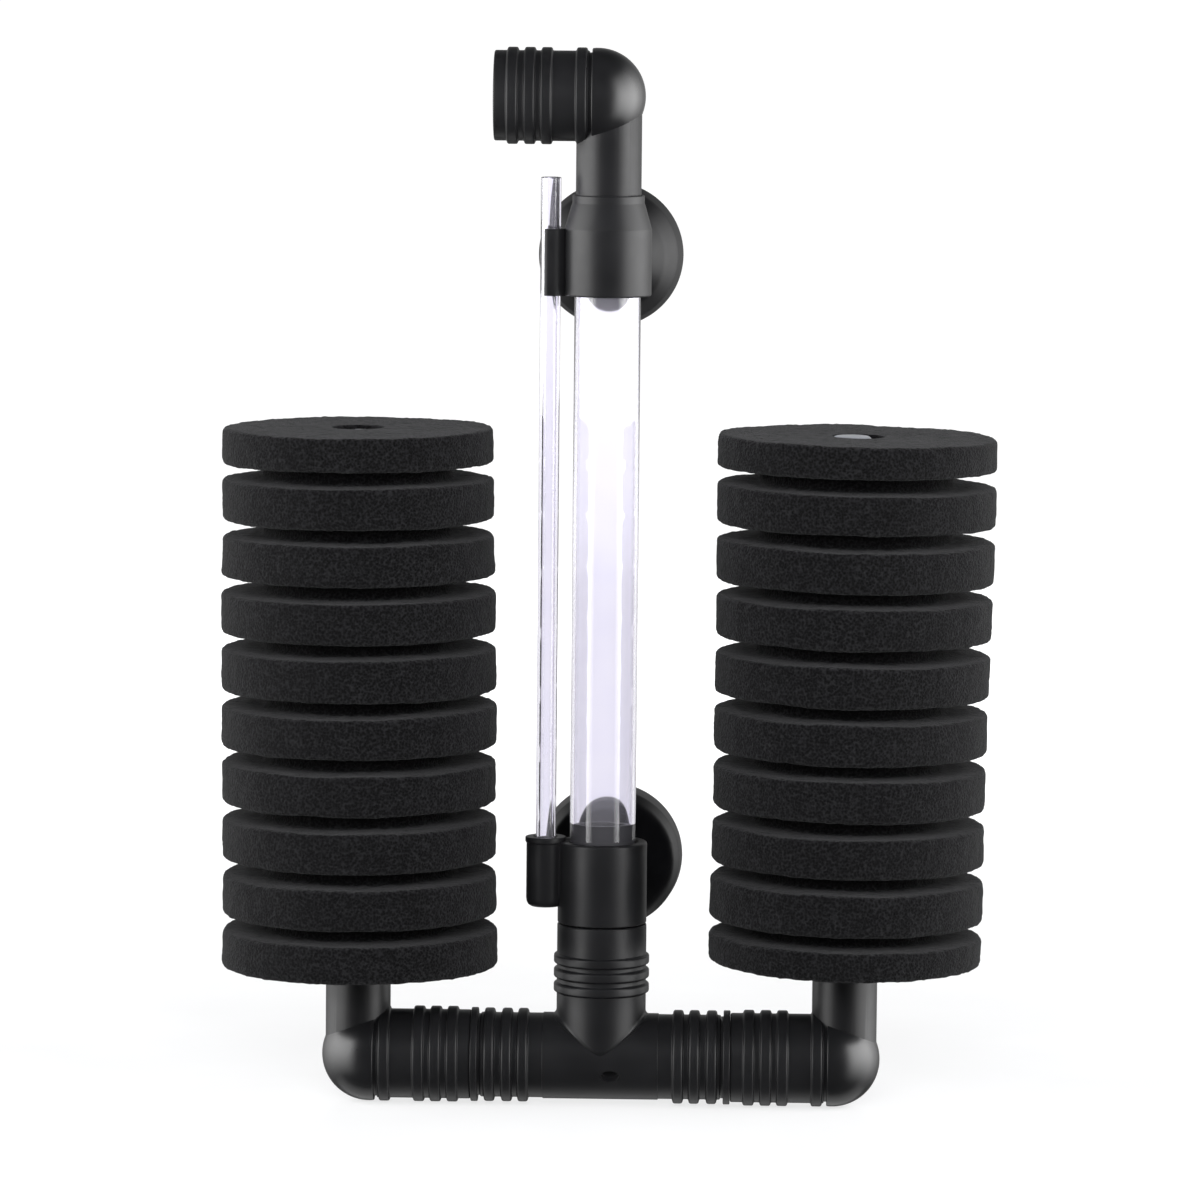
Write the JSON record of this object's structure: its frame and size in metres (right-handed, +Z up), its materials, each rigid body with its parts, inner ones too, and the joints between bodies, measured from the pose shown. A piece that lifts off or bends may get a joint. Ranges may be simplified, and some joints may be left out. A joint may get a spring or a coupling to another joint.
{
  "type": "aquarium sponge filter",
  "caption": "Air-driven aquarium filter with ribbed foam cylinders on elbow arms, a clear uplift tube, an outlet elbow and suction cups.",
  "frame": {"origin": "on the uplift tube's axis, level with the lowest ribs of the two lower elbows", "axes": "+X to the right arm, +Y towards the glass that the suction cups hold, +Z up the uplift tube"},
  "size_m": [0.1868, 0.0668, 0.26],
  "materials": {
    "black_plastic": "satin moulded black",
    "grey_plastic": "plain moulded grey",
    "clear_plastic": "clear extruded tube with a faint violet tint",
    "black_rubber": "smooth soft black",
    "black_foam": "open-cell foam"
  },
  "bodies": {
    "collars": {"upper_collar": "black_plastic", "uplift_tube": "clear_plastic", "lower_collar": "black_plastic", "air_injector": "black_plastic"},
    "outlet": {"outlet_elbow": "black_plastic"},
    "manifold": {"tee": "black_plastic", "left_nipple": "black_plastic", "right_nipple": "black_plastic"},
    "left_arm": {"left_elbow": "black_plastic", "left_strainer": "grey_plastic", "left_strainer_cap": "grey_plastic"},
    "right_arm": {"right_elbow": "black_plastic", "right_strainer": "grey_plastic", "right_strainer_cap": "grey_plastic"},
    "left_foam": {"left_sponge": "black_foam"},
    "right_foam": {"right_sponge": "black_foam"},
    "upper_cup": {"upper_suction_cup": "black_rubber"},
    "lower_cup": {"lower_suction_cup": "black_rubber"},
    "air_line": {"air_tube": "clear_plastic"}
  },
  "joints": [
    {"name": "outlet_turn", "type": "hinge", "parent": "collars", "child": "outlet", "pos_m": [0, 0, 0.218], "axis": [0, 0, 1], "continuous": true},
    {"name": "tee_turn", "type": "hinge", "parent": "collars", "child": "manifold", "pos_m": [0, 0, 0.0376], "axis": [0, 0, 1], "range_deg": [-28, 28]},
    {"name": "left_arm_turn", "type": "hinge", "parent": "manifold", "child": "left_arm", "pos_m": [-0.032, 0, 0.0118], "axis": [1, 0, 0], "continuous": true},
    {"name": "right_arm_turn", "type": "hinge", "parent": "manifold", "child": "right_arm", "pos_m": [0.032, 0, 0.0118], "axis": [1, 0, 0], "continuous": true},
    {"name": "left_sponge_lift", "type": "slide", "parent": "left_arm", "child": "left_foam", "axis": [0, 0, 1], "range_m": [0, 0.066]},
    {"name": "right_sponge_lift", "type": "slide", "parent": "right_arm", "child": "right_foam", "axis": [0, 0, 1], "range_m": [0, 0.132]},
    {"name": "upper_cup_turn", "type": "hinge", "parent": "collars", "child": "upper_cup", "pos_m": [0, 0.0165, 0.2079], "axis": [0, 1, 0], "continuous": true},
    {"name": "lower_cup_turn", "type": "hinge", "parent": "collars", "child": "lower_cup", "pos_m": [0, 0.0165, 0.0579], "axis": [0, 1, 0], "continuous": true},
    {"name": "air_tube_slide", "type": "slide", "parent": "collars", "child": "air_line", "axis": [0, 0, 1], "range_m": [0, 0.0075]}
  ]
}
